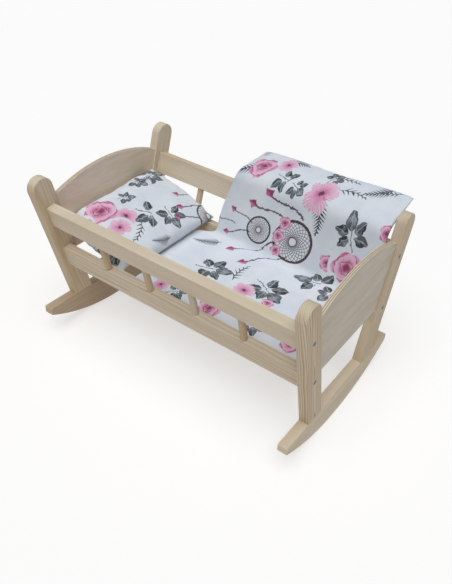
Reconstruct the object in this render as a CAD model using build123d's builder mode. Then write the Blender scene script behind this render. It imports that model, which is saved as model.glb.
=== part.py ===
"""Doll's rocking cradle in pine lath: two splayed end frames on rockers, leaning side rails
with spindles, a slatted base, a pillow and a quilt.  Millimetres, +Z up.

X runs along the cradle, from the head end (-X) to the foot end (+X), and -Y is the front side.
The origin is on the floor, midway between the lowest points of the two rockers.
"""
import os
from math import cos, radians, sin

from build123d import *

# ---------------------------------------------------------------- driving dimensions
# laths: the posts, rails and rockers are all cut from one planed section
overall_length = 540.0      # over the outer faces of the two end frames
lath_thick = 18.0
lath_width = 40.0
edge_round = 1.2            # sanded edges of the laths

# end frames
splay_angle = 14.5          # how far posts and sides lean outwards from upright, degrees
post_foot_y = 90.0          # post centre line from the middle plane, at the rocker's top
post_length = 272.0         # along the lean, from the rocker to the top of the half-round

# rockers
rocker_height = 58.0
rocker_length = 344.0
rocker_radius = 362.0
rocker_tip_round = 3.0

# end panels of thin plywood
panel_thick = 8.0
panel_setback = 5.0         # from the posts' outer faces to the panel's outer face
panel_lift = 100.0          # rocker top to the panel's straight bottom edge
panel_rise = 147.0          # bottom edge to the crest of the arch
panel_arch_radius = 310.0
groove_depth = 8.0          # the stopped groove in each post's inner edge
groove_play = 0.2

# side rails, measured along the lean from the rocker's top to the rail's lower edge
bottom_rail_start = 80.0
top_rail_start = 176.0

# spindles
spindle_count = 4           # on each side
spindle_diameter = 12.0
spindle_pitch = 96.0
spindle_hole_depth = 12.0
glue_play = 0.1             # round gap that the glue fills at dowels and spindles

# dowels that join a post to its rocker
dowel_diameter = 8.0
dowel_length = 40.0
dowel_spacing = 20.0

# wood screws, one through a post into each rail end
screw_length = 55.0
screw_diameter = 4.0
screw_head_diameter = 8.4
screw_point_length = 7.0
screw_play = 0.1
recess_width = 1.3
recess_span = 4.8
recess_depth = 1.8

# slatted base
cleat_width = 10.0
cleat_height = 10.0
slat_count = 5
slat_pitch = 90.0
slat_width = 40.0
slat_thick = 6.0
slat_end_gap = 0.8
nail_diameter = 1.8
nail_length = 14.0
nail_play = 0.05

# pillow, leaning on the head panel
pillow_length = 158.0       # along its slope
pillow_width = 206.0
pillow_thick = 40.0
pillow_edge_thick = 12.0
pillow_tilt = 24.0          # head edge up, degrees
pillow_height = 205.0       # of its middle
pillow_offset_y = 4.0

# quilt: flat on the slats, up the inside of the back rails and out over the top one
quilt_thick = 14.0
quilt_width = 350.0
quilt_foot_gap = 4.0        # to the foot posts
quilt_front_gap = 5.0       # to the front bottom rail
quilt_rise = 22.5           # above the top rail, up to the bend
quilt_overhang = 77.0       # from the bend to the free edge
quilt_overhang_slope = 16.0
quilt_low_bend = 25.0       # radii of its two bends, at mid thickness
quilt_high_bend = 25.0
quilt_skew_low = 22.0       # how far the free corner is drawn in: at the bottom rail,
quilt_skew_mid = 40.0       # at the top rail
quilt_skew_top = 64.0       # and at the free edge
bedding_gap = 0.3           # between bedding and wood

# ---------------------------------------------------------------- worked out from them
lean_sin = sin(radians(splay_angle))
lean_cos = cos(radians(splay_angle))
half_length = overall_length / 2
inner_half_length = half_length - lath_thick      # to the posts' inner faces
half_lath = lath_thick / 2
half_width = lath_width / 2
post_straight = post_length - half_width          # up to the centre of the half-round
panel_outer_x = half_length - panel_setback
panel_inner_x = panel_outer_x - panel_thick
panel_bottom = rocker_height + panel_lift
panel_crest = panel_bottom + panel_rise
spindle_length = top_rail_start - bottom_rail_start - lath_width + 2 * spindle_hole_depth
spindle_start = bottom_rail_start + lath_width - spindle_hole_depth
rail_starts = {"bottom": bottom_rail_start, "top": top_rail_start}
ends = {"head": -1, "foot": 1}
sides = {"front": -1, "back": 1}


def lean(along, across, side=1):
    """(y, z) of a point in the leaning side plane: along the lean from the rocker's top,
    and across it from the post's centre line, positive outwards."""
    y = post_foot_y + along * lean_sin + across * lean_cos
    z = rocker_height + along * lean_cos - across * lean_sin
    return side * y, z


def lean_y(height, across, side=1):
    """y of the leaning line that runs at this distance from the centre line."""
    along = (height - rocker_height + across * lean_sin) / lean_cos
    return lean(along, across, side)[0]


def lean_plane(x, along, across, side, facing=1):
    """Plane across the lean at a point; its normal runs up the lean, or down it."""
    y, z = lean(along, across, side)
    return Plane(origin=(x, y, z), x_dir=(1, 0, 0),
                 z_dir=(0, facing * side * lean_sin, facing * lean_cos))


def centred(count, pitch):
    return [(i - (count - 1) / 2) * pitch for i in range(count)]


def save(piece, name):
    piece.part.label = name
    export_step(piece.part, f"parts/{name}.step")


def panel_outline(side_inset):
    """Arched panel between the posts, its sides this far inside the posts' inner edges."""
    across = side_inset - half_width
    tall = 2 * panel_rise
    Polygon(
        (lean_y(panel_bottom, across, -1), panel_bottom),
        (lean_y(panel_bottom, across), panel_bottom),
        (lean_y(panel_bottom + tall, across), panel_bottom + tall),
        (lean_y(panel_bottom + tall, across, -1), panel_bottom + tall),
        align=None,
    )
    with Locations((0, panel_crest - panel_arch_radius)):
        Circle(panel_arch_radius, mode=Mode.INTERSECT)


def lath_outline(start, side):
    """Section of a leaning rail, square to the lean."""
    Polygon(
        lean(start, -half_lath, side),
        lean(start, half_lath, side),
        lean(start + lath_width, half_lath, side),
        lean(start + lath_width, -half_lath, side),
        align=None,
    )


os.makedirs("parts", exist_ok=True)

# ---------------------------------------------------------------- rockers
rocker_half = rocker_length / 2
rocker_tip_z = rocker_radius - (rocker_radius**2 - rocker_half**2) ** 0.5
for end_name, end in ends.items():
    with BuildPart() as rocker:
        with BuildSketch(Plane.YZ.offset(end * (half_length - half_lath))) as rocker_side:
            with BuildLine():
                ThreePointArc((-rocker_half, rocker_tip_z), (0, 0), (rocker_half, rocker_tip_z))
                Polyline(
                    (rocker_half, rocker_tip_z),
                    (rocker_half, rocker_height),
                    (-rocker_half, rocker_height),
                    (-rocker_half, rocker_tip_z),
                )
            make_face()
            fillet(rocker_side.vertices(), rocker_tip_round)
        extrude(amount=half_lath, both=True)
        face_edges = rocker.faces().filter_by(Axis.X).edges()
        fillet(face_edges, edge_round)
        for side in sides.values():
            for across in centred(2, dowel_spacing):
                hole_plane = lean_plane(end * (half_length - half_lath), 0, across, side, -1)
                with BuildSketch(hole_plane.offset(-dowel_length / 2)):
                    Circle(dowel_diameter / 2 + glue_play)
                extrude(amount=dowel_length, mode=Mode.SUBTRACT)
    save(rocker, f"{end_name}_rocker")

# ---------------------------------------------------------------- posts
for end_name, end in ends.items():
    mid_x = end * (half_length - half_lath)
    for side_name, side in sides.items():
        foot_in = (lean_y(rocker_height, -half_width, side), rocker_height)
        foot_out = (lean_y(rocker_height, half_width, side), rocker_height)
        with BuildPart() as post:
            with BuildSketch(Plane.YZ.offset(mid_x)):
                with BuildLine():
                    Line(foot_in, foot_out)
                    Line(foot_out, lean(post_straight, half_width, side))
                    ThreePointArc(
                        lean(post_straight, half_width, side),
                        lean(post_length, 0, side),
                        lean(post_straight, -half_width, side),
                    )
                    Line(lean(post_straight, -half_width, side), foot_in)
                make_face()
            extrude(amount=half_lath, both=True)
            outline = post.faces().filter_by(Axis.X).edges()
            above_foot = outline.sort_by(Axis.Z)[2:]
            fillet(above_foot, edge_round)
            with BuildSketch(Plane.YZ.offset(end * (panel_inner_x - groove_play))):
                panel_outline(groove_depth)
            extrude(amount=end * (panel_thick + 2 * groove_play), mode=Mode.SUBTRACT)
            for across in centred(2, dowel_spacing):
                with BuildSketch(lean_plane(mid_x, -dowel_length / 2, across, side)):
                    Circle(dowel_diameter / 2 + glue_play)
                extrude(amount=dowel_length, mode=Mode.SUBTRACT)
            for start in rail_starts.values():
                screw_y, screw_z = lean(start + half_width, 0, side)
                outward = Plane(origin=(end * half_length, screw_y, screw_z), x_dir=(0, 1, 0),
                                z_dir=(end, 0, 0))
                with Locations(outward):
                    CounterSinkHole(screw_diameter / 2 + screw_play,
                                    screw_head_diameter / 2 + screw_play, depth=lath_thick)
        save(post, f"{end_name}_post_{side_name}")

# ---------------------------------------------------------------- dowels of each post
for end_name, end in ends.items():
    mid_x = end * (half_length - half_lath)
    for side_name, side in sides.items():
        with BuildPart() as dowels:
            for across in centred(2, dowel_spacing):
                with BuildSketch(lean_plane(mid_x, -dowel_length / 2, across, side)):
                    Circle(dowel_diameter / 2)
                extrude(amount=dowel_length)
        save(dowels, f"{end_name}_dowels_{side_name}")

# ---------------------------------------------------------------- end panels
for end_name, end in ends.items():
    with BuildPart() as panel:
        with BuildSketch(Plane.YZ.offset(end * panel_inner_x)):
            panel_outline(groove_depth - groove_play)
        extrude(amount=end * panel_thick)
    save(panel, f"{end_name}_panel")

# ---------------------------------------------------------------- side rails
spindle_places = centred(spindle_count, spindle_pitch)
screw_hold = screw_length - lath_thick            # length of screw inside the rail
for rail_name, start in rail_starts.items():
    for side_name, side in sides.items():
        with BuildPart() as rail:
            with BuildSketch(Plane.YZ):
                lath_outline(start, side)
            extrude(amount=inner_half_length, both=True)
            fillet(rail.edges().filter_by(Axis.X), edge_round)
            hole_start = spindle_start if rail_name == "bottom" else top_rail_start
            for x in spindle_places:
                with BuildSketch(lean_plane(x, hole_start, 0, side)):
                    Circle(spindle_diameter / 2 + glue_play)
                extrude(amount=spindle_hole_depth, mode=Mode.SUBTRACT)
            screw_y, screw_z = lean(start + half_width, 0, side)
            for end in ends.values():
                inward = Plane(origin=(end * inner_half_length, screw_y, screw_z),
                               x_dir=(0, 1, 0), z_dir=(-end, 0, 0))
                with BuildSketch(inward):
                    Circle(screw_diameter / 2 + screw_play)
                extrude(amount=screw_hold, mode=Mode.SUBTRACT)
        save(rail, f"{rail_name}_rail_{side_name}")

# ---------------------------------------------------------------- spindles
for side_name, side in sides.items():
    for number, x in enumerate(spindle_places, 1):
        with BuildPart() as spindle:
            with BuildSketch(lean_plane(x, spindle_start, 0, side)):
                Circle(spindle_diameter / 2)
            extrude(amount=spindle_length)
        save(spindle, f"spindle_{side_name}_{number}")

# ---------------------------------------------------------------- screws
head_radius = screw_head_diameter / 2
shank_radius = screw_diameter / 2
head_depth = head_radius - shank_radius           # a 90 degree countersink
for rail_name, start in rail_starts.items():
    for end_name, end in ends.items():
        for side_name, side in sides.items():
            screw_y, screw_z = lean(start + half_width, 0, side)
            axis_plane = Plane(origin=(end * half_length, screw_y, screw_z), x_dir=(-end, 0, 0),
                               z_dir=(0, -1, 0))
            face_plane = Plane(origin=(end * half_length, screw_y, screw_z), x_dir=(0, 1, 0),
                               z_dir=(-end, 0, 0))
            with BuildPart() as screw:
                with BuildSketch(axis_plane):
                    Polygon(
                        (0, 0), (0, head_radius), (head_depth, shank_radius),
                        (screw_length - screw_point_length, shank_radius), (screw_length, 0),
                        align=None,
                    )
                revolve(axis=Axis((end * half_length, screw_y, screw_z), (-end, 0, 0)))
                with BuildSketch(face_plane):
                    Rectangle(recess_span, recess_width, rotation=45)
                    Rectangle(recess_width, recess_span, rotation=45)
                extrude(amount=recess_depth, mode=Mode.SUBTRACT)
            save(screw, f"screw_{rail_name}_{end_name}_{side_name}")

# ---------------------------------------------------------------- cleats and slats
cleat_bottom = lean(bottom_rail_start, -half_lath)[1]
cleat_top = cleat_bottom + cleat_height
slat_top = cleat_top + slat_thick
slat_half = lean_y(cleat_top, -half_lath) - slat_end_gap
nail_y = lean_y(cleat_top, -half_lath) - cleat_width / 2
slat_places = centred(slat_count, slat_pitch)
nail_bottom = slat_top - nail_length
for side_name, side in sides.items():
    with BuildPart() as cleat:
        back_low = lean_y(cleat_bottom, -half_lath)
        back_high = lean_y(cleat_top, -half_lath)
        with BuildSketch(Plane.YZ):
            Polygon(
                (side * back_low, cleat_bottom),
                (side * back_high, cleat_top),
                (side * (back_high - cleat_width), cleat_top),
                (side * (back_high - cleat_width), cleat_bottom),
                align=None,
            )
        extrude(amount=inner_half_length, both=True)
        with BuildSketch(Plane.XY.offset(nail_bottom)):
            with Locations([(x, side * nail_y) for x in slat_places]):
                Circle(nail_diameter / 2 + nail_play)
        extrude(amount=nail_length, mode=Mode.SUBTRACT)
    save(cleat, f"slat_cleat_{side_name}")

for number, x in enumerate(slat_places, 1):
    with BuildPart() as slat:
        with BuildSketch(Plane.XY.offset(cleat_top)):
            with Locations((x, 0)):
                Rectangle(slat_width, 2 * slat_half)
        extrude(amount=slat_thick)
        fillet(slat.edges().filter_by(Axis.Y), edge_round)
        with BuildSketch(Plane.XY.offset(cleat_top)):
            with Locations([(x, side * nail_y) for side in sides.values()]):
                Circle(nail_diameter / 2 + nail_play)
        extrude(amount=slat_thick, mode=Mode.SUBTRACT)
    save(slat, f"slat_{number}")

with BuildPart() as nails:
    with BuildSketch(Plane.XY.offset(nail_bottom)):
        with Locations([(x, side * nail_y) for x in slat_places for side in sides.values()]):
            Circle(nail_diameter / 2)
    extrude(amount=nail_length)
save(nails, "slat_nails")

# ---------------------------------------------------------------- pillow
tilt_sin = sin(radians(pillow_tilt))
tilt_cos = cos(radians(pillow_tilt))
pillow_half = pillow_length / 2
edge_half = pillow_edge_thick / 2
pillow_reach = pillow_half * tilt_cos + edge_half * tilt_sin
pillow_x = -panel_inner_x + bedding_gap + pillow_reach
with BuildPart() as pillow:
    pillow_plane = Plane(origin=(pillow_x, pillow_offset_y, pillow_height),
                         x_dir=(tilt_cos, 0, -tilt_sin), z_dir=(0, -1, 0))
    with BuildSketch(pillow_plane):
        with BuildLine():
            ThreePointArc((-pillow_half, edge_half), (0, pillow_thick / 2),
                          (pillow_half, edge_half))
            Line((pillow_half, edge_half), (pillow_half, -edge_half))
            ThreePointArc((pillow_half, -edge_half), (0, -pillow_thick / 2),
                          (-pillow_half, -edge_half))
            Line((-pillow_half, -edge_half), (-pillow_half, edge_half))
        make_face()
    extrude(amount=pillow_width / 2, both=True)
save(pillow, "pillow")

# ---------------------------------------------------------------- quilt
quilt_half = quilt_thick / 2
quilt_across = -half_lath - bedding_gap - quilt_half
quilt_bed = slat_top + bedding_gap + quilt_half
quilt_front = -lean_y(quilt_bed, -half_lath) + quilt_front_gap
quilt_corner = (lean_y(quilt_bed, quilt_across), quilt_bed)
quilt_bend = lean(top_rail_start + lath_width + quilt_rise, quilt_across)
overhang_cos = cos(radians(quilt_overhang_slope))
overhang_sin = sin(radians(quilt_overhang_slope))
quilt_edge = (quilt_bend[0] + quilt_overhang * overhang_cos,
              quilt_bend[1] + quilt_overhang * overhang_sin)
quilt_foot_x = inner_half_length - quilt_foot_gap
quilt_head_x = quilt_foot_x - quilt_width
well_above = quilt_edge[1] + lath_width
with BuildPart() as quilt:
    with BuildSketch(Plane.YZ.offset(quilt_head_x)):
        with BuildLine():
            quilt_path = FilletPolyline((quilt_front, quilt_bed), quilt_corner, quilt_bend,
                                        quilt_edge, radius=(quilt_low_bend, quilt_high_bend))
        trace(quilt_path, line_width=quilt_thick)
    extrude(amount=quilt_width)
    # the head-side edge is drawn in towards the foot as it climbs
    with BuildSketch(Plane.XZ):
        Polygon(
            (quilt_head_x - lath_width, quilt_bed + quilt_half),
            (quilt_head_x + quilt_skew_low, quilt_bed + quilt_half),
            (quilt_head_x + quilt_skew_mid, quilt_bend[1] - quilt_rise),
            (quilt_head_x + quilt_skew_top, quilt_edge[1] + quilt_thick),
            (quilt_head_x + quilt_skew_top, well_above),
            (quilt_head_x - lath_width, well_above),
            align=None,
        )
    extrude(amount=overall_length, both=True, mode=Mode.SUBTRACT)
save(quilt, "quilt")
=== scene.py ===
"""Looks for the doll's rocking cradle: raw pine, plywood and steel on the CAD parts, and a
sewn, padded pillow and quilt in printed cotton in place of the two soft CAD solids."""
import math

import bmesh
import bpy
from mathutils import Matrix, Vector, noise


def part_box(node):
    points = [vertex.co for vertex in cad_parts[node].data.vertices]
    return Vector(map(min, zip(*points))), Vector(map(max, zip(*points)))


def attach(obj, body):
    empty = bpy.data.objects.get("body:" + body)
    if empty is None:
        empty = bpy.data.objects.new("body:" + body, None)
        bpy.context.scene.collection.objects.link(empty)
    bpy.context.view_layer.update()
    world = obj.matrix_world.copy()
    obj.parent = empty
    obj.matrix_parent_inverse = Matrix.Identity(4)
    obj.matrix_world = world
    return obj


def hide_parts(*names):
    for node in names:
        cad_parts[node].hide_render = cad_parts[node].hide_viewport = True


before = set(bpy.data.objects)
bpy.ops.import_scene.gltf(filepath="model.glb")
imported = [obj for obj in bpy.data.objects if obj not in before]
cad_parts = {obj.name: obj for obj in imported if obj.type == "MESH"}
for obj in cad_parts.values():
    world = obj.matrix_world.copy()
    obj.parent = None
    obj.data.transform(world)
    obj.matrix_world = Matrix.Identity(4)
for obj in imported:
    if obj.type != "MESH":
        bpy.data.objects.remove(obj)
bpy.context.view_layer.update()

MM = 0.001

# ------------------------------------------------------------------ sizes
# from the frame
slat_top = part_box("slat_3")[1].z
rail_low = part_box("bottom_rail_back")[0]
top_rail_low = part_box("top_rail_back")[0]
panel_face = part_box("head_panel")[1].x
quilt_low, quilt_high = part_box("quilt")

# shared with the wooden frame
lean = math.radians(14.5)
lean_sin, lean_cos = math.sin(lean), math.cos(lean)
lath_thick = 18 * MM
lath_width = 40 * MM
bedding_gap = 0.3 * MM

# the quilt, as it is cut and sewn, and the two bends in its side view
quilt_thick = 14 * MM
quilt_width = quilt_high.x - quilt_low.x
quilt_front_gap = 5 * MM
quilt_rise = 22.5 * MM
quilt_overhang = 77 * MM
quilt_slope = math.radians(16)
quilt_bends = (25 * MM, 25 * MM)

# the pillow, as it is cut and sewn
pillow_length = 168 * MM
pillow_width = 236 * MM
spindle_clearance = 1 * MM


def inner_face_y(height):
    """y of the back rails' inner face at a height; the front is its mirror image."""
    foot_z = rail_low.z + lath_thick * lean_sin
    return rail_low.y + (height - foot_z) * math.tan(lean)


# ------------------------------------------------------------------ camera, floor, light
def make_camera():
    azimuth, elevation, roll = map(math.radians, (33.54, 36.16, 3.98))
    target, distance = Vector((0.0206, 0.0366, 0.1408)), 1.170
    back = Vector((math.sin(azimuth) * math.cos(elevation),
                   -math.cos(azimuth) * math.cos(elevation), math.sin(elevation)))
    level = Vector((0, 0, 1)).cross(back).normalized()
    upright = back.cross(level)
    right = level * math.cos(roll) + upright * math.sin(roll)
    up = upright * math.cos(roll) - level * math.sin(roll)
    data = bpy.data.cameras.new("camera")
    data.sensor_width = 36
    data.lens = 39.67
    data.shift_x, data.shift_y = -0.0200, -0.0224
    camera = bpy.data.objects.new("camera", data)
    camera.matrix_world = Matrix.Translation(target + back * distance) @ Matrix(
        (right, up, back)).transposed().to_4x4()
    bpy.context.scene.collection.objects.link(camera)
    bpy.context.scene.camera = camera


def make_sun(name, toward, energy, softness, colour):
    """A soft sun, toward being the direction it shines from."""
    data = bpy.data.lights.new(name, "SUN")
    data.energy = energy
    data.angle = math.radians(softness)
    data.color = colour
    sun = bpy.data.objects.new(name, data)
    sun.rotation_euler = Vector(toward).to_track_quat("Z", "Y").to_euler()
    bpy.context.scene.collection.objects.link(sun)


def glow_strength(tree, lighting, seen):
    """A strength that lights the scene with one value and shows to the camera as another."""
    is_seen = Wire(tree, tree.nodes.new("ShaderNodeLightPath").outputs["Is Camera Ray"])
    return lighting + (seen - lighting) * is_seen


def make_floor():
    bpy.ops.mesh.primitive_plane_add(size=30, location=(0, 0, 0))
    floor = bpy.context.object
    floor.name = "floor"
    paper = bpy.data.materials.new("paper")
    paper.use_nodes = True
    shader = paper.node_tree.nodes["Principled BSDF"]
    shader.inputs["Base Color"].default_value = (0.48, 0.46, 0.44, 1)
    shader.inputs["Roughness"].default_value = 1
    shader.inputs["Specular IOR Level"].default_value = 0
    shader.inputs["Emission Color"].default_value = (1, 1, 1, 1)
    feed(paper.node_tree, shader.inputs["Emission Strength"],
         glow_strength(paper.node_tree, lighting=0.34, seen=0.58))
    floor.data.materials.append(paper)


def make_light():
    world = bpy.data.worlds.new("studio")
    world.use_nodes = True
    sky = world.node_tree.nodes["Background"]
    sky.inputs["Color"].default_value = (0.88, 0.94, 1, 1)
    feed(world.node_tree, sky.inputs["Strength"],
         glow_strength(world.node_tree, lighting=0.12, seen=0.93))
    bpy.context.scene.world = world
    make_sun("overhead", (0.12, -0.30, 1.0), 2.40, 55, (0.93, 0.97, 1))
    make_sun("side", (1.0, 0.1, 0.5), 0.10, 60, (0.96, 0.98, 1))
    bpy.context.scene.view_settings.view_transform = "Standard"


# ------------------------------------------------------------------ shader arithmetic
def srgb(red, green, blue):
    """A colour given in the 0 to 255 scale, as the linear RGBA that shaders take."""
    def line(c):
        c /= 255
        return c / 12.92 if c <= 0.04045 else ((c + 0.055) / 1.055) ** 2.4
    return (line(red), line(green), line(blue), 1)


def feed(tree, socket, value):
    if isinstance(value, Wire):
        tree.links.new(value.out, socket)
    else:
        socket.default_value = value


class Wire:
    """An output socket that takes part in ordinary arithmetic."""

    def __init__(self, tree, out):
        self.tree = tree
        self.out = out

    def do(self, operation, *values):
        node = self.tree.nodes.new("ShaderNodeMath")
        node.operation = operation
        for socket, value in zip(node.inputs, values):
            feed(self.tree, socket, value)
        return Wire(self.tree, node.outputs[0])

    def __add__(self, other):
        return self.do("ADD", self, other)

    def __radd__(self, other):
        return self.do("ADD", self, other)

    def __sub__(self, other):
        return self.do("SUBTRACT", self, other)

    def __rsub__(self, other):
        return self.do("SUBTRACT", other, self)

    def __mul__(self, other):
        return self.do("MULTIPLY", self, other)

    def __rmul__(self, other):
        return self.do("MULTIPLY", self, other)

    def __truediv__(self, other):
        return self.do("DIVIDE", self, other)

    def __abs__(self):
        return self.do("ABSOLUTE", self)

    def sin(self):
        return self.do("SINE", self)

    def cos(self):
        return self.do("COSINE", self)

    def fract(self):
        return self.do("FRACT", self)

    def floor(self):
        return self.do("FLOOR", self)

    def power(self, exponent):
        return self.do("POWER", self, exponent)

    def maximum(self, other):
        return self.do("MAXIMUM", self, other)

    def minimum(self, other):
        return self.do("MINIMUM", self, other)

    def hypot(self, other):
        square = self * self + other * other
        return square.do("SQRT", square)

    def join(self, other):
        """A vector of this value and another one."""
        node = self.tree.nodes.new("ShaderNodeCombineXYZ")
        feed(self.tree, node.inputs[0], self)
        feed(self.tree, node.inputs[1], other)
        return Wire(self.tree, node.outputs[0])

    def angle(self, x):
        return self.do("ARCTAN2", self, x)

    def smooth(self, low, high):
        """0 below low, 1 above high, with an eased step between."""
        node = self.tree.nodes.new("ShaderNodeMapRange")
        node.interpolation_type = "SMOOTHSTEP"
        for name, value in (("Value", self), ("From Min", low), ("From Max", high)):
            feed(self.tree, node.inputs[name], value)
        return Wire(self.tree, node.outputs["Result"])


def mix(tree, amount, first, second):
    """Colour mix; each colour is a Wire or an RGBA tuple."""
    node = tree.nodes.new("ShaderNodeMix")
    node.data_type = "RGBA"
    feed(tree, node.inputs[0], amount)
    feed(tree, node.inputs[6], first)
    feed(tree, node.inputs[7], second)
    return Wire(tree, node.outputs[2])


def noise_wire(tree, vector, scale, detail=3.0, roughness=0.5, stretch=None):
    """Noise of a vector, its scale per metre, or per axis with stretch."""
    if stretch is not None:
        scaler = tree.nodes.new("ShaderNodeVectorMath")
        scaler.operation = "MULTIPLY"
        feed(tree, scaler.inputs[0], vector)
        scaler.inputs[1].default_value = stretch
        vector = Wire(tree, scaler.outputs[0])
    node = tree.nodes.new("ShaderNodeTexNoise")
    feed(tree, node.inputs["Vector"], vector)
    node.inputs["Scale"].default_value = scale
    node.inputs["Detail"].default_value = detail
    node.inputs["Roughness"].default_value = roughness
    return Wire(tree, node.outputs[0])


def split(tree, vector):
    node = tree.nodes.new("ShaderNodeSeparateXYZ")
    feed(tree, node.inputs[0], vector)
    return [Wire(tree, node.outputs[k]) for k in range(3)]


def new_group(name, inputs, outputs):
    """A node group with vector, float or colour sockets: returns it with its input Wires."""
    group = bpy.data.node_groups.new(name, "ShaderNodeTree")
    kinds = {"v": "NodeSocketVector", "f": "NodeSocketFloat", "c": "NodeSocketColor"}
    for label, kind in inputs:
        group.interface.new_socket(label, in_out="INPUT", socket_type=kinds[kind])
    for label, kind in outputs:
        group.interface.new_socket(label, in_out="OUTPUT", socket_type=kinds[kind])
    source = group.nodes.new("NodeGroupInput")
    return group, [Wire(group, source.outputs[k]) for k in range(len(inputs))]


def close_group(group, *results):
    sink = group.nodes.new("NodeGroupOutput")
    for socket, value in zip(sink.inputs, results):
        feed(group, socket, value)


def use_group(tree, group, *values):
    node = tree.nodes.new("ShaderNodeGroup")
    node.node_tree = group
    for socket, value in zip(node.inputs, values):
        feed(tree, socket, value)
    return [Wire(tree, out) for out in node.outputs]


def new_material(name):
    material = bpy.data.materials.new(name)
    material.use_nodes = True
    tree = material.node_tree
    return material, tree, tree.nodes["Principled BSDF"]


def add_bump(tree, shader, height, distance, strength=1.0):
    bump = tree.nodes.new("ShaderNodeBump")
    bump.inputs["Distance"].default_value = distance
    bump.inputs["Strength"].default_value = strength
    feed(tree, bump.inputs["Height"], height)
    tree.links.new(bump.outputs["Normal"], shader.inputs["Normal"])


# ------------------------------------------------------------------ wood
def make_wood_group():
    """Solid wood: x runs along the grain, and the rings are cylinders round the x axis.
    Spacing is a ring's width, Contrast how dark its late wood is."""
    group, (place, spacing, contrast, warmth, end_grain, shade) = new_group(
        "solid_wood",
        [("Place", "v"), ("Spacing", "f"), ("Contrast", "f"), ("Warmth", "f"), ("End", "f"),
         ("Shade", "f")],
        [("Color", "c"), ("Roughness", "f"), ("Height", "f")])
    x, y, z = split(group, place)
    sway = noise_wire(group, place, 1, 2, 0.5, stretch=(5, 26, 26)) - 0.5
    ripple = noise_wire(group, place, 1, 2, 0.5, stretch=(18, 160, 160)) - 0.5
    radius = y.hypot(z) + sway * 0.010 + ripple * 0.0011
    turn = radius / spacing
    widths = noise_wire(group, turn, 0.33, 1) * 1.4
    ring = (turn + widths).fract()
    late = ring.smooth(0.35, 0.93) * (1 - ring.smooth(0.93, 1.0))
    fibre = noise_wire(group, place, 1, 3, 0.65, stretch=(28, 1500, 1500))
    broad = noise_wire(group, place, 1, 2, 0.5, stretch=(4, 34, 34))
    fleck = noise_wire(group, place, 1, 2, 0.6, stretch=(70, 1300, 1300)).smooth(0.66, 0.75)
    early_colour = mix(group, broad.smooth(0.3, 0.7), srgb(228, 213, 190), srgb(220, 203, 177))
    warm_colour = mix(group, warmth * broad.smooth(0.35, 0.65), early_colour,
                      srgb(210, 184, 148))
    late_colour = mix(group, fibre, srgb(196, 166, 126), srgb(178, 144, 104))
    ringed = mix(group, late * contrast, warm_colour, late_colour)
    fibred = mix(group, (fibre - 0.5).smooth(0, 0.5) * 0.16, ringed, srgb(168, 138, 102))
    flecked = mix(group, fleck * 0.28, fibred, srgb(142, 104, 66))
    # End-grain faces are painted paler. Those in view are the rounded post tops, so this is a
    # painted highlight for the light from above
    end_grain_painted_light = mix(group, end_grain * 0.5, flecked, srgb(226, 214, 186))
    # Shade darkens the whole lath toward brown. On the chosen laths below it is painted shade,
    # strongest on the head rocker; on the other laths it is a darker tone of the wood
    shaded = mix(group, shade, end_grain_painted_light, srgb(150, 116, 80))
    rough = 0.56 + 0.14 * fibre - 0.08 * late
    height = fibre * 0.5 - late * 0.35 - fleck * 0.6
    close_group(group, shaded, rough, height)
    return group


def local_place(tree, origin, grain, width):
    """Object coordinates turned so that x runs along the grain and y across the width."""
    source = tree.nodes.new("ShaderNodeTexCoord")
    mapping = tree.nodes.new("ShaderNodeMapping")
    mapping.vector_type = "TEXTURE"
    grain = Vector(grain).normalized()
    width = Vector(width).normalized()
    turn = Matrix((grain, width, grain.cross(width))).transposed()
    mapping.inputs["Location"].default_value = origin
    mapping.inputs["Rotation"].default_value = turn.to_euler()
    tree.links.new(source.outputs["Object"], mapping.inputs["Vector"])
    facing = tree.nodes.new("ShaderNodeVectorMath")
    facing.operation = "DOT_PRODUCT"
    tree.links.new(source.outputs["Normal"], facing.inputs[0])
    facing.inputs[1].default_value = grain
    end_grain = abs(Wire(tree, facing.outputs["Value"])).smooth(0.6, 0.95)
    return Wire(tree, mapping.outputs[0]), end_grain


def wood_material(name, centre, grain, width, pith, spacing, contrast, warmth, shade):
    """pith is the rings' centre, across the width and the thickness, from the lath's middle."""
    material, tree, shader = new_material(name)
    width = Vector(width).normalized()
    thickness = Vector(grain).normalized().cross(width)
    origin = Vector(centre) + width * pith[0] + thickness * pith[1]
    place, end_grain = local_place(tree, origin, grain, width)
    colour, rough, height = use_group(tree, wood_group, place, spacing, contrast, warmth,
                                      end_grain, shade)
    feed(tree, shader.inputs["Base Color"], colour)
    feed(tree, shader.inputs["Roughness"], rough)
    shader.inputs["Specular IOR Level"].default_value = 0.35
    add_bump(tree, shader, height, 0.25 * MM, 0.6)
    return material


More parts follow.
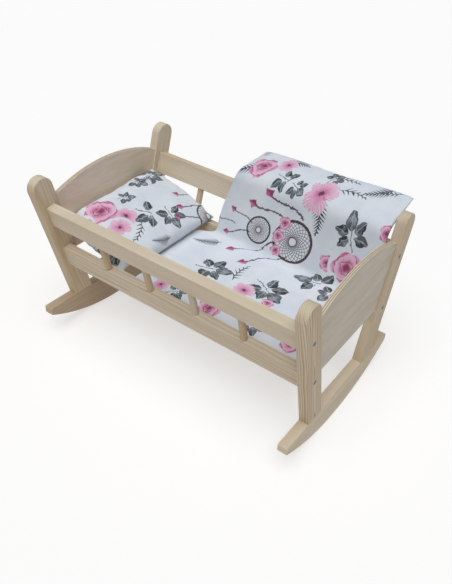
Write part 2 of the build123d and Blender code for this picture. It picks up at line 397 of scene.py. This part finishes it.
def plywood_material(name, low, high, pale, deep):
    """Smooth face veneers, and alternating plies that show only on the cut edges."""
    material, tree, shader = new_material(name)
    source = tree.nodes.new("ShaderNodeTexCoord")
    place = Wire(tree, source.outputs["Object"])
    x = split(tree, place)[0]
    depth = (x - low.x) / (high.x - low.x)
    plies = 5
    layer = (depth * plies).fract()
    crossed = (depth * plies / 2).fract().smooth(0.49, 0.51)
    glue = 1 - layer.smooth(0, 0.10) + layer.smooth(0.90, 1.0)
    inner = depth.smooth(0.02, 0.04) * (1 - depth.smooth(0.96, 0.98))
    figure = noise_wire(tree, place, 1, 3, 0.55, stretch=(9, 7, 60))
    fibre = noise_wire(tree, place, 1, 3, 0.6, stretch=(900, 34, 900))
    pore = noise_wire(tree, place, 1, 2, 0.6, stretch=(900, 90, 1100)).smooth(0.68, 0.76)
    face = mix(tree, figure.smooth(0.35, 0.65), pale, deep)
    face = mix(tree, fibre.smooth(0.45, 0.75) * 0.3, face, srgb(180, 158, 130))
    face = mix(tree, pore * 0.3, face, srgb(160, 128, 92))
    ply = mix(tree, crossed, srgb(224, 212, 192), srgb(192, 168, 136))
    ply = mix(tree, fibre.smooth(0.4, 0.8) * 0.4, ply, srgb(168, 134, 94))
    ply = mix(tree, glue * 0.35, ply, srgb(138, 110, 82))
    feed(tree, shader.inputs["Base Color"], mix(tree, inner, face, ply))
    feed(tree, shader.inputs["Roughness"], 0.50 + fibre * 0.16)
    shader.inputs["Specular IOR Level"].default_value = 0.35
    add_bump(tree, shader, fibre * 0.5 - pore * 0.5 - inner * glue * 0.5, 0.2 * MM, 0.5)
    return material


def steel_material():
    material, tree, shader = new_material("zinc_plated_steel")
    source = tree.nodes.new("ShaderNodeTexCoord")
    place = Wire(tree, source.outputs["Object"])
    cloud = noise_wire(tree, place, 420, 4, 0.6)
    scratch = noise_wire(tree, place, 1, 2, 0.6, stretch=(300, 5200, 900))
    worn = mix(tree, cloud, srgb(96, 104, 114), srgb(150, 156, 162))
    dull = mix(tree, scratch.smooth(0.55, 0.8) * 0.5, worn, srgb(66, 72, 82))
    feed(tree, shader.inputs["Base Color"], dull)
    feed(tree, shader.inputs["Roughness"], 0.28 + cloud * 0.25)
    shader.inputs["Metallic"].default_value = 1
    add_bump(tree, shader, scratch, 0.05 * MM, 0.5)
    return material


def dress(node, material):
    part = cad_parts[node]
    part.data.materials.clear()
    part.data.materials.append(material)


def spread(index, step):
    """A repeatable value from 0 to 1 that jumps from one lath to the next."""
    return (0.5 + index * step) % 1


# Laths whose figure was picked: the rings' centre from the lath's middle, ring width, and how
# strong the late wood, the warm streaks and the overall shade are. The shade is painted shade,
# darkest on the head rocker and the back foot post, for the shadow that these laths stand in
chosen_laths = {
    "foot_post_front": ((4 * MM, 15 * MM), 2.6 * MM, 1.00, 0.05, 0.08),
    "head_post_front": ((12 * MM, 30 * MM), 4.2 * MM, 0.35, 0.55, 0.05),
    "top_rail_front": ((-60 * MM, 10 * MM), 3.0 * MM, 0.16, 0.05, 0.03),
    "bottom_rail_front": ((-6 * MM, 20 * MM), 4.0 * MM, 0.50, 0.02, 0),
    "top_rail_back": ((40 * MM, 30 * MM), 3.2 * MM, 0.30, 0.35, 0.02),
    # painted shade: the head rocker is darkened for the cradle's shadow on its inner face
    "head_rocker": ((10 * MM, 30 * MM), 3.8 * MM, 0.45, 0.50, 0.42),
    "foot_rocker": ((20 * MM, 40 * MM), 3.6 * MM, 0.25, 0.15, 0.05),
    "head_post_back": ((0, 34 * MM), 3.0 * MM, 0.20, 0, 0),
    "foot_post_back": ((8 * MM, 36 * MM), 3.4 * MM, 0.25, 0.20, 0.24),
}


def lath_directions(node, side):
    """Which way a lath's grain and its width run, on the front (-1) or back (1) side."""
    along, across, upward = Vector((1, 0, 0)), Vector((0, 1, 0)), Vector((0, 0, 1))
    leaning = Vector((0, side * lean_sin, lean_cos))
    outward = Vector((0, side * lean_cos, -lean_sin))
    if "rail" in node:
        return along, leaning
    if "rocker" in node:
        return across, upward
    if "cleat" in node:
        return along, upward
    if node.startswith("slat"):
        return across, along
    return leaning, outward


def lath_figure(index, node):
    """Ring centre, ring width, contrast, warmth and shade of one lath."""
    if node in chosen_laths:
        return chosen_laths[node]
    if node.startswith("spindle") or "dowels" in node:
        return (9 * MM, 12 * MM), 1.5 * MM, 0.25, 0.9, 0.12
    pith = (28 * MM * (spread(index, 0.618) - 0.5), (14 + 34 * spread(index, 0.414)) * MM)
    spacing = (2.6 + 1.8 * spread(index, 0.732)) * MM
    contrast = 0.24 + 0.34 * spread(index, 0.271)
    warmth = 0.10 + 0.45 * spread(index, 0.853)
    return pith, spacing, contrast, warmth, 0.10 * spread(index, 0.519)


def dress_wood():
    laths = [n for n in sorted(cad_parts) if n.split("_")[0] not in
             ("screw", "pillow", "quilt") and n != "slat_nails" and not n.endswith("panel")]
    for index, node in enumerate(laths):
        low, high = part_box(node)
        centre = (low + high) / 2
        grain, width = lath_directions(node, -1 if centre.y < 0 else 1)
        # each lath is cut from another stretch of the board
        centre = centre + grain * 400 * MM * spread(index, 0.377)
        dress(node, wood_material(f"wood_{node}", centre, grain, width,
                                  *lath_figure(index, node)))


def dress_rest():
    # The two panels are one plywood in two brightnesses. This is painted light: the head panel's
    # veneer is made paler to lift its inner face out of the cradle's shade
    dress("head_panel", plywood_material("ply_head", *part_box("head_panel"),
                                         srgb(245, 228, 208), srgb(238, 217, 192)))
    dress("foot_panel", plywood_material("ply_foot", *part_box("foot_panel"),
                                         srgb(214, 203, 188), srgb(205, 192, 173)))
    steel = steel_material()
    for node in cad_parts:
        if node.startswith("screw") or node == "slat_nails":
            dress(node, steel)


# ------------------------------------------------------------------ sewn, padded pieces
def plump(u, v, length, width, edge):
    """From 0 at the seam to 1 inside, over a rounded edge."""
    rise = 1.0
    for gap in (min(u, 1 - u) * length, min(v, 1 - v) * width):
        rise *= math.sqrt(1 - (1 - max(0, min(gap / edge, 1))) ** 2)
    return rise


def sewn_pair(name, length, width, cell, loft, edge):
    """Two layers of cloth joined all round, lying flat, loft being half their thickness.
    The UV map is the cut cloth, in metres from one corner."""
    columns, rows = round(length / cell), round(width / cell)
    mesh = bpy.data.meshes.new(name)
    build = bmesh.new()
    cut = build.loops.layers.uv.new("cut")
    layers = {1: {}, -1: {}}
    for i in range(columns + 1):
        for j in range(rows + 1):
            u, v = i / columns, j / rows
            flat = Vector((u * length, v * width, 0))
            if i in (0, columns) or j in (0, rows):
                layers[1][i, j] = layers[-1][i, j] = build.verts.new(flat)
            else:
                rise = Vector((0, 0, loft * plump(u, v, length, width, edge)))
                for layer in (1, -1):
                    layers[layer][i, j] = build.verts.new(flat + rise * layer)
    for layer, verts in layers.items():
        for i in range(columns):
            for j in range(rows):
                ring = [(i, j), (i + 1, j), (i + 1, j + 1), (i, j + 1)][::layer]
                face = build.faces.new([verts[corner] for corner in ring])
                face.smooth = True
                for loop, (a, b) in zip(face.loops, ring):
                    loop[cut].uv = (a * length / columns, b * width / rows)
    build.to_mesh(mesh)
    build.free()
    piece = bpy.data.objects.new(name, mesh)
    bpy.context.scene.collection.objects.link(piece)
    return piece


def inflate(piece, pressure, frames, cap, stiffness, bending):
    """Blows the sewn pair up by cloth simulation and brings its corners back to the cut
    size, so that its sides are pulled in. No point moves further than cap."""
    before = [v.co.copy() for v in piece.data.vertices]
    cloth = piece.modifiers.new("cloth", "CLOTH")
    settings = cloth.settings
    settings.quality = 5
    settings.mass = 0.15
    settings.tension_stiffness = settings.compression_stiffness = stiffness
    settings.shear_stiffness = stiffness / 3
    settings.bending_stiffness = bending
    settings.air_damping = 2
    settings.use_pressure = True
    settings.uniform_pressure_force = pressure
    settings.effector_weights.gravity = 0
    cloth.collision_settings.use_collision = False
    cloth.point_cache.frame_start = 1
    cloth.point_cache.frame_end = frames
    scene = bpy.context.scene
    for step in range(1, frames + 1):
        scene.frame_set(step)
    shaped = piece.evaluated_get(bpy.context.evaluated_depsgraph_get()).data
    after = [v.co.copy() for v in shaped.vertices]
    piece.modifiers.remove(cloth)
    scene.frame_set(1)
    for axis in (0, 1):
        low, high = min(p[axis] for p in after), max(p[axis] for p in after)
        size = max(p[axis] for p in before)
        for point in after:
            point[axis] = (point[axis] - low) * size / (high - low)
    for vertex, start, end in zip(piece.data.vertices, before, after):
        move = end - start
        if move.length > cap:
            move *= cap / move.length
        vertex.co = start + move


def pucker(u, v, length, width, reach, depth):
    """Small gathers that run in from the seam and die out over reach."""
    a, b = u * length, v * width
    gap_a, gap_b = min(a, length - a), min(b, width - b)
    along = b if gap_a < gap_b else a
    fade = math.exp(-min(gap_a, gap_b) / reach)
    gather = noise.noise(Vector((along / (13 * MM), 3.3 if gap_a < gap_b else 8.8,
                                 min(gap_a, gap_b) / (60 * MM))))
    return depth * gather * fade * min(1, min(gap_a, gap_b) / (4 * MM))


def soften(piece):
    finer = piece.modifiers.new("finer", "SUBSURF")
    finer.levels = finer.render_levels = 1


def ease(value, low, high):
    t = max(0.0, min(1.0, (value - low) / (high - low)))
    return t * t * (3 - 2 * t)


class BentPath:
    """Straight runs in the YZ plane with rounded corners, by distance along the path."""

    def __init__(self, points, radii):
        self.runs = []
        start = Vector(points[0])
        for before, corner, after, radius in zip(points, points[1:], points[2:], radii):
            corner = Vector(corner)
            into = (corner - Vector(before)).normalized()
            out = (Vector(after) - corner).normalized()
            turn = into.angle_signed(out)
            cut = radius * math.tan(abs(turn) / 2)
            self.runs.append(("line", start, into, (corner - into * cut - start).length))
            self.runs.append(("arc", corner - into * cut, into, radius * abs(turn), turn))
            start = corner + out * cut
        last = Vector(points[-1]) - start
        self.runs.append(("line", start, last.normalized(), last.length))
        self.length = sum(run[3] for run in self.runs)

    def at(self, distance):
        """The point, and the direction along the path."""
        for run in self.runs:
            if distance <= run[3] or run is self.runs[-1]:
                break
            distance -= run[3]
        kind, start, direction, length = run[:4]
        if kind == "line":
            return start + direction * distance, direction
        turn = -run[4] * distance / length
        turned = Matrix.Rotation(turn, 2) @ direction
        radius = length / abs(run[4])
        side = math.copysign(1, -run[4])
        normal = Vector((-direction.y, direction.x)) * side
        centre = start + normal * radius
        return centre + Matrix.Rotation(turn, 2) @ (start - centre), turned


def quilt_path():
    bed = slat_top + bedding_gap + quilt_thick / 2
    front = -inner_face_y(bed) + quilt_front_gap
    step_in = (bedding_gap + quilt_thick / 2) / lean_cos

    def leaning(height):
        return Vector((inner_face_y(height) - step_in, height))

    rail_top = top_rail_low.z + lath_thick * lean_sin + lath_width * lean_cos
    bend = leaning(rail_top + quilt_rise * lean_cos + (bedding_gap + quilt_thick / 2) * lean_sin)
    edge = bend + Vector((math.cos(quilt_slope), math.sin(quilt_slope))) * quilt_overhang
    return BentPath([(front, bed), leaning(bed), bend, edge], quilt_bends)


def quilt_left_edge(s):
    """How far the open side is drawn in along the bed, s metres from the front edge: flared
    where it lies under the pillow, then slanting away as it climbs the back rails."""
    lying = (-4 - 22 * ease(s, 40 * MM, 90 * MM)) * MM
    climbing = (20 + 33 * ease(s, 220 * MM, 420 * MM)) * MM
    risen = ease(s, 186 * MM, 208 * MM)
    return lying * (1 - risen) + climbing * risen


def make_quilt():
    path = quilt_path()
    piece = sewn_pair("padded_quilt", quilt_width, path.length, 5 * MM, quilt_thick * 0.36,
                      13 * MM)
    inflate(piece, pressure=0.5, frames=14, cap=5 * MM, stiffness=40, bending=0.05)
    for vertex in piece.data.vertices:
        along, s, height = vertex.co
        u, v = along / quilt_width, s / path.length
        s += ease(v, 0.7, 1.0) * (2 + 7 * u + 2 * math.sin(9 * u)) * MM
        drawn = quilt_left_edge(s)
        (y, z), (along_y, along_z) = path.at(s)
        inside = plump(u, v, quilt_width, path.length, 40 * MM)
        wave = 2.2 * noise.noise(Vector((u * 3.4, v * 4.3, 1.7)))
        crease = 0.8 * noise.noise(Vector((u * 9 + v * 3, v * 6, 6.1)))
        height += (wave + crease) * inside * MM
        height += pucker(u, v, quilt_width, path.length, 18 * MM, 2.2 * MM)
        height = max(height, -quilt_thick / 2)
        sag = 4 * MM * ease(v, 0.85, 1.0) * (1 - u) ** 2
        vertex.co = (quilt_low.x + drawn + along * (1 - drawn / quilt_width),
                     y - along_z * height, z + along_y * height - sag)
    soften(piece)
    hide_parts("quilt")
    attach(piece, "quilt")
    return piece


def spindle_face_y(place):
    """How far back cloth may reach at the first back spindle; no limit beside it."""
    low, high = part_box("spindle_back_1")
    radius = (high.x - low.x) / 2 + spindle_clearance
    across = (place.x - (low.x + high.x) / 2) / radius
    if abs(across) >= 1:
        return math.inf
    depth = lath_thick / 2 - radius * math.sqrt(1 - across ** 2)
    return inner_face_y(place.z) + depth / lean_cos


def make_pillow():
    """Leans on the head panel, its foot end on the quilt, its back corner over the lower back
    rail and its front side hanging down inside the front rails."""
    piece = sewn_pair("padded_pillow", pillow_length, pillow_width, 4 * MM, 27 * MM, 80 * MM)
    inflate(piece, pressure=2.5, frames=26, cap=14 * MM, stiffness=20, bending=0.2)
    head_back = Vector((panel_face + 2 * MM, 115.5 * MM, 241 * MM))
    head_front = Vector((panel_face + 6 * MM, -125 * MM, 231 * MM))
    foot_back = Vector((-102 * MM, 126 * MM, 182.3 * MM))
    foot_front = Vector((-106 * MM, -116 * MM, 172.6 * MM))
    for vertex in piece.data.vertices:
        along, across, height = vertex.co
        u, v = along / pillow_length, across / pillow_width
        gap = min(min(u, 1 - u) * pillow_length, min(v, 1 - v) * pillow_width)
        height *= 0.3 + 0.7 * ease(gap, 2 * MM, 8 * MM)
        gathers = pucker(u, v, pillow_length, pillow_width, 26 * MM, 4.6 * MM)
        dents = 2.6 * MM * noise.noise(Vector((u * 5, v * 7, 2.2))) * plump(
            u, v, pillow_length, pillow_width, 50 * MM)
        height += gathers + dents
        front = head_front.lerp(foot_front, u)
        back = head_back.lerp(foot_back, u)
        slope = head_front.lerp(head_back, v) - foot_front.lerp(foot_back, v)
        normal = (back - front).cross(slope).normalized()
        hang = ease(1 - v, 0.84, 1.0)
        place = front.lerp(back, v) + normal * height
        place += Vector((0, 12 * MM * hang, -22 * MM * hang * (1 - 0.5 * u)))
        place.x -= 24 * MM * u * ease(1 - v, 0.72, 0.97)
        place.x = max(place.x, panel_face + 0.5 * MM)
        place.y = min(place.y, spindle_face_y(place))
        vertex.co = place
    soften(piece)
    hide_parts("pillow")
    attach(piece, "pillow")
    return piece


# ------------------------------------------------------------------ printed cotton
ink_dark, ink_mid, ink_light = srgb(50, 57, 61), srgb(104, 113, 117), srgb(176, 183, 187)
pink_deep, pink_mid, pink_pale = srgb(158, 56, 98), srgb(210, 120, 164), srgb(236, 192, 214)


def draw_rose(group, x, y):
    """Ringed petals, each one pale at its rim and deep where it tucks under the next."""
    radius, turn = x.hypot(y), y.angle(x)
    ripple = (noise_wire(group, x.join(y), 2.2, 2) - 0.5) * 0.30
    outline = 0.84 + 0.07 * (5 * turn + 1).sin() + 0.06 * (3 * turn).sin() + ripple
    rings = radius * 2.7 + ripple * 4
    petal = (rings + 0.30 * abs((1.5 * turn + 2.1 * rings.floor()).sin())).fract()
    colour = mix(group, petal.smooth(0.0, 0.85), pink_mid, pink_pale)
    colour = mix(group, (1 - petal.smooth(0.0, 0.22)) * 0.55, colour, pink_deep)
    colour = mix(group, 1 - (radius + ripple).smooth(0.08, 0.42), colour, pink_deep)
    tuck = (1 - petal.smooth(0.02, 0.16)) * (1 - radius.smooth(0.20, 0.62))
    colour = mix(group, tuck * 0.45, colour, ink_dark)
    return colour, 1 - (radius - outline).smooth(-0.04, 0.02)


def draw_flower(group, x, y):
    """Open petals of uneven width with streaks, round a dark eye."""
    radius, turn = x.hypot(y), y.angle(x)
    ripple = (noise_wire(group, x.join(y), 3, 2) - 0.5) * 0.3
    lobe = abs((2.5 * turn).cos()).maximum(0.8 * abs((3.5 * turn + 0.6).cos())).power(0.6)
    streak = (34 * turn + 9 * ripple).sin().smooth(-0.2, 1) * radius.smooth(0.1, 0.6)
    colour = mix(group, (radius + ripple).smooth(0.10, 0.60), pink_mid, pink_pale)
    colour = mix(group, radius.smooth(0.45, 0.95) * 0.6, colour, srgb(246, 228, 238))
    colour = mix(group, streak * 0.55, colour, pink_mid)
    colour = mix(group, (1 - lobe.smooth(0.1, 0.5)) * 0.7, colour, pink_deep)
    colour = mix(group, 1 - radius.smooth(0.10, 0.17), colour, srgb(112, 60, 76))
    return colour, 1 - (radius - 0.42 - 0.5 * lobe - ripple * 0.4).smooth(-0.04, 0.02)


def draw_leaves(group, x, y):
    """Five oval leaves of uneven length round a point, a sixth part being left to the stalk."""
    turn = y.angle(x) / (math.pi / 3)
    leaf = (turn + 0.5).floor()
    away = (turn - leaf) * (math.pi / 3)
    radius = x.hypot(y)
    reach = 1 - 0.26 * (leaf * 0.37 + 0.25).fract()
    along, across = radius * away.cos() / reach, radius * away.sin() / reach
    part = ((along - 0.20) / 0.80).maximum(0).minimum(1)
    half = 0.345 * (part * math.pi).sin().power(0.75) * (1 - 0.35 * part)
    vein = abs((34 * (along - 0.9 * abs(across))).sin()).smooth(0.0, 0.5)
    glow = noise_wire(group, x.join(y), 2.6, 2).smooth(0.44, 0.66)
    inside = (half - abs(across)).smooth(0.0, 0.10)
    tone = mix(group, across.smooth(-0.10, 0.12) * 0.8, ink_dark, ink_mid)
    tone = mix(group, inside * glow * 0.75, tone, ink_light)
    tone = mix(group, (1 - vein) * 0.55, tone, ink_dark)
    tone = mix(group, 1 - abs(across).smooth(0.008, 0.026), tone, ink_light)
    blade = 1 - (abs(across) - half).smooth(-0.02, 0.01)
    blade = blade * (1 - abs(leaf).smooth(2.4, 2.6))
    stalk = (1 - abs(y).smooth(0.014, 0.03)) * x.smooth(-0.72, -0.66) * (1 - x.smooth(0.2, 0.3))
    return mix(group, blade, ink_mid, tone), blade.maximum(stalk)


def draw_frond(group, x, y, pitch, reach, fullness):
    """A bent stem with leaflets in pairs, shorter toward the tip."""
    bent = y - 0.16 * (1 - x * x)
    out = abs(bent)
    envelope = reach * (1 - x).maximum(0).power(0.6) * x.smooth(-0.95, -0.5) + 0.01
    step = (x - 0.9 * out) / pitch + bent.do("SIGN", bent) * 0.2
    gap = abs(step.fract() - 0.5) * pitch * 2
    blade = 1 - (gap - pitch * fullness * (1 - out / envelope)).smooth(-0.02, 0.01)
    blade = blade * (1 - out.smooth(0.96 * envelope, envelope)) * x.smooth(-0.85, -0.8)
    stem = 1 - out.smooth(0.014, 0.034)
    inside = x.smooth(-1, -0.98) * (1 - x.smooth(0.97, 1))
    tone = mix(group, noise_wire(group, x.join(y), 5, 2).smooth(0.35, 0.65), ink_dark, ink_mid)
    return tone, blade.maximum(stem) * inside


def draw_fern(group, x, y):
    return draw_frond(group, x, y, 0.21, 0.46, 0.80)


def draw_sprig(group, x, y):
    return draw_frond(group, x, y, 0.34, 0.32, 0.50)


def draw_string(group, x, y):
    """A thin knotted cord that ends in a pink barb."""
    bent = y - 0.13 * (2.6 * x).sin()
    across = abs(bent)
    knot = (x * 3.5).fract().smooth(0.80, 0.95) * 0.035
    cord = (1 - (across - knot).smooth(0.020, 0.042)) * (1 - x.smooth(0.60, 0.64))
    barb = 1 - (across - 0.60 * (1 - x)).smooth(-0.03, 0.01)
    barb = barb * (x - 0.54 - across * 0.5).smooth(0.0, 0.04)
    barb_colour = mix(group, bent.smooth(-0.06, 0.08), pink_deep, pink_mid)
    colour = mix(group, barb, srgb(98, 80, 88), barb_colour)
    return colour, cord.maximum(barb) * x.smooth(-1, -0.98)


def draw_ring(group, x, y):
    """A bound hoop with a net of crossing spirals and an open middle."""
    radius, turn = x.hypot(y), y.angle(x)
    twist = (44 * turn + 30 * radius).sin().smooth(-0.3, 0.5)
    spiral = radius.maximum(0.05).do("LOGARITHM", radius.maximum(0.05), math.e)
    one = abs((11 * (turn + 0.95 * spiral)).sin())
    other = abs((11 * (turn - 0.95 * spiral)).sin())
    net = (1 - (one.minimum(other) * radius / 11).smooth(0.010, 0.024)) * 0.9
    net = net * radius.smooth(0.20, 0.22) * (1 - radius.smooth(0.86, 0.88))
    eye = 1 - abs(radius - 0.20).smooth(0.015, 0.035)
    hoop = 1 - abs(radius - 0.93).smooth(0.05, 0.08)
    colour = mix(group, hoop * twist, srgb(96, 80, 80), srgb(52, 48, 50))
    return colour, net.maximum(eye).maximum(hoop)


def motif_group(name, draw, waver_size):
    """Place is a point in the motif's own units; Cloth makes every print's outline its own."""
    group, (place, cloth) = new_group(
        name, [("Place", "v"), ("Cloth", "v")], [("Color", "c"), ("Mask", "f")])
    x, y, _ = split(group, place)
    waver = noise_wire(group, cloth, 75, 2) - 0.5
    shiver = noise_wire(group, cloth, 110, 2) - 0.5
    close_group(group, *draw(group, x + waver * waver_size, y + shiver * waver_size))
    return group


def nearest_print(tree, cloth, slim, spots):
    """The cloth's coordinates as seen from whichever spot covers it, in units of its size, or
    a far-off point where none does. A spot is its place in mm, angle in degrees and size, and
    the motif is slim times longer than it is wide."""
    place = (9, 9, 0)
    for x, y, angle, size in spots:
        mapping = tree.nodes.new("ShaderNodeMapping")
        mapping.vector_type = "TEXTURE"
        mapping.inputs["Location"].default_value = (x * MM, y * MM, 0)
        mapping.inputs["Rotation"].default_value = (0, 0, math.radians(angle))
        mapping.inputs["Scale"].default_value = (size * MM, size * MM, 1)
        feed(tree, mapping.inputs["Vector"], cloth)
        local = Wire(tree, mapping.outputs[0])
        x, y, _ = split(tree, local)
        reach = x.hypot(y * slim)
        covers = reach.do("LESS_THAN", reach, 1.08)
        choice = tree.nodes.new("ShaderNodeMix")
        choice.data_type = "VECTOR"
        feed(tree, choice.inputs[0], covers)
        feed(tree, choice.inputs[4], place)
        feed(tree, choice.inputs[5], local)
        place = Wire(tree, choice.outputs[1])
    return place


def cotton_material(name, length, width, prints):
    """Plain-woven white cotton with the prints on it, and puckers along its seams."""
    material, tree, shader = new_material(name)
    source = tree.nodes.new("ShaderNodeUVMap")
    source.uv_map = "cut"
    cloth = Wire(tree, source.outputs[0])
    u, v, _ = split(tree, cloth)
    thread = 2 * math.pi / (0.6 * MM)
    weave = (u * thread).sin() * (v * thread).sin()
    slub = noise_wire(tree, cloth, 1, 3, 0.6, stretch=(140, 900, 1))
    cloud = noise_wire(tree, cloth, 24, 3, 0.5)
    seam = u.minimum(length - u).minimum(v).minimum(width - v)
    pucker = noise_wire(tree, cloth, 150, 2, 0.5) * (1 - seam.smooth(0, 14 * MM))
    ground = mix(tree, cloud.smooth(0.35, 0.65), srgb(232, 235, 240), srgb(224, 228, 236))
    ground = mix(tree, slub.smooth(0.5, 0.75) * 0.2, ground, srgb(204, 208, 218))
    for kind, spots in prints.items():
        place = nearest_print(tree, cloth, slimness[kind], spots)
        colour, mask = use_group(tree, motifs[kind], place, cloth)
        ground = mix(tree, mask, ground, colour)
    ground = mix(tree, (weave * 0.5 + 0.5) * 0.06, ground, srgb(160, 164, 174))
    # Painted shade: bluish grey within 2 mm of the seam, for the crease where the two layers are
    # sewn together
    ground = mix(tree, (1 - seam.smooth(0.3 * MM, 2 * MM)) * 0.22, ground, srgb(140, 144, 156))
    feed(tree, shader.inputs["Base Color"], ground)
    feed(tree, shader.inputs["Roughness"], 0.86 + slub * 0.1)
    shader.inputs["Specular IOR Level"].default_value = 0.2
    shader.inputs["Sheen Weight"].default_value = 0.15
    shader.inputs["Sheen Roughness"].default_value = 0.5
    relief = weave * 0.05 + slub * 0.12 + pucker * 1.2 + seam.smooth(0.5 * MM, 2.5 * MM) * 0.8
    add_bump(tree, shader, relief, 0.9 * MM, 0.8)
    return material


slimness = {"fern": 1.8, "sprig": 2.2, "leaves": 1, "string": 2.3, "ring": 1, "flower": 1,
            "rose": 1}

# For each kind, lowest layer first: place along the bed and across it from the cut's corner in
# mm, angle in degrees, and size in mm from the motif's middle to its end
quilt_prints = {
    "fern": [(22, 350, 215, 34), (208, 306, 285, 32), (50, 170, 210, 26), (98, 388, 10, 28),
             (285, 388, 215, 30), (20, 60, 120, 26)],
    "sprig": [(214, 388, 5, 28), (245, 362, 0, 30), (305, 395, 200, 26), (153, 126, 90, 28),
              (20, 398, 60, 18)],
    "leaves": [(106, 346, 350, 32), (140, 338, 340, 24), (108, 102, 20, 42), (210, 116, 330, 44),
               (262, 188, 190, 42), (296, 172, 250, 30), (284, 300, 110, 42),
               (87, 12, 30, 26), (235, 22, 10, 30), (190, 384, 60, 26)],
    "string": [(134, 309, 161, 52), (104, 288, 168, 48), (54, 262, 160, 30),
               (52, 227, 192, 32), (113, 203, 228, 42), (150, 183, 232, 42),
               (20, 240, 175, 26)],
    "ring": [(100, 246, 0, 27), (176, 249, 0, 42)],
    "flower": [(82, 378, 20, 22), (193, 343, 10, 36), (182, 89, 0, 22), (54, 12, 0, 18)],
    "rose": [(42, 356, 0, 30), (149, 277, 0, 15), (144, 250, 90, 15), (147, 222, 30, 14),
             (230, 85, 0, 13), (254, 238, 0, 18), (294, 243, 40, 35), (345, 322, 0, 15),
             (156, 12, 0, 24), (306, 24, 0, 22)],
}
pillow_prints = {
    "fern": [(152, 96, 250, 20), (30, 176, 100, 22)],
    "sprig": [(118, 66, 300, 26)],
    "leaves": [(22, 198, 80, 38), (24, 162, 20, 24), (42, 110, 60, 22), (100, 116, 30, 42),
               (124, 148, 350, 34), (132, 18, 200, 30), (94, 8, 20, 24)],
    "string": [(128, 200, 240, 34), (146, 176, 230, 32), (102, 218, 235, 32)],
    "ring": [(160, 222, 0, 26)],
    "flower": [(78, 76, 0, 24), (92, 50, 40, 22)],
    "rose": [(40, 52, 20, 36), (40, 10, 0, 22)],
}


make_camera()
make_floor()
make_light()
wood_group = make_wood_group()
dress_wood()
dress_rest()
quilt = make_quilt()
pillow = make_pillow()
motifs = {name: motif_group(name, draw, waver_size) for name, draw, waver_size in (
    ("rose", draw_rose, 0.24), ("flower", draw_flower, 0.26), ("leaves", draw_leaves, 0.24),
    ("fern", draw_fern, 0.16), ("sprig", draw_sprig, 0.20), ("string", draw_string, 0.16),
    ("ring", draw_ring, 0.05))}
quilt.data.materials.append(
    cotton_material("quilt_cloth", quilt_width, quilt_path().length, quilt_prints))
pillow.data.materials.append(
    cotton_material("pillow_cloth", pillow_length, pillow_width, pillow_prints))
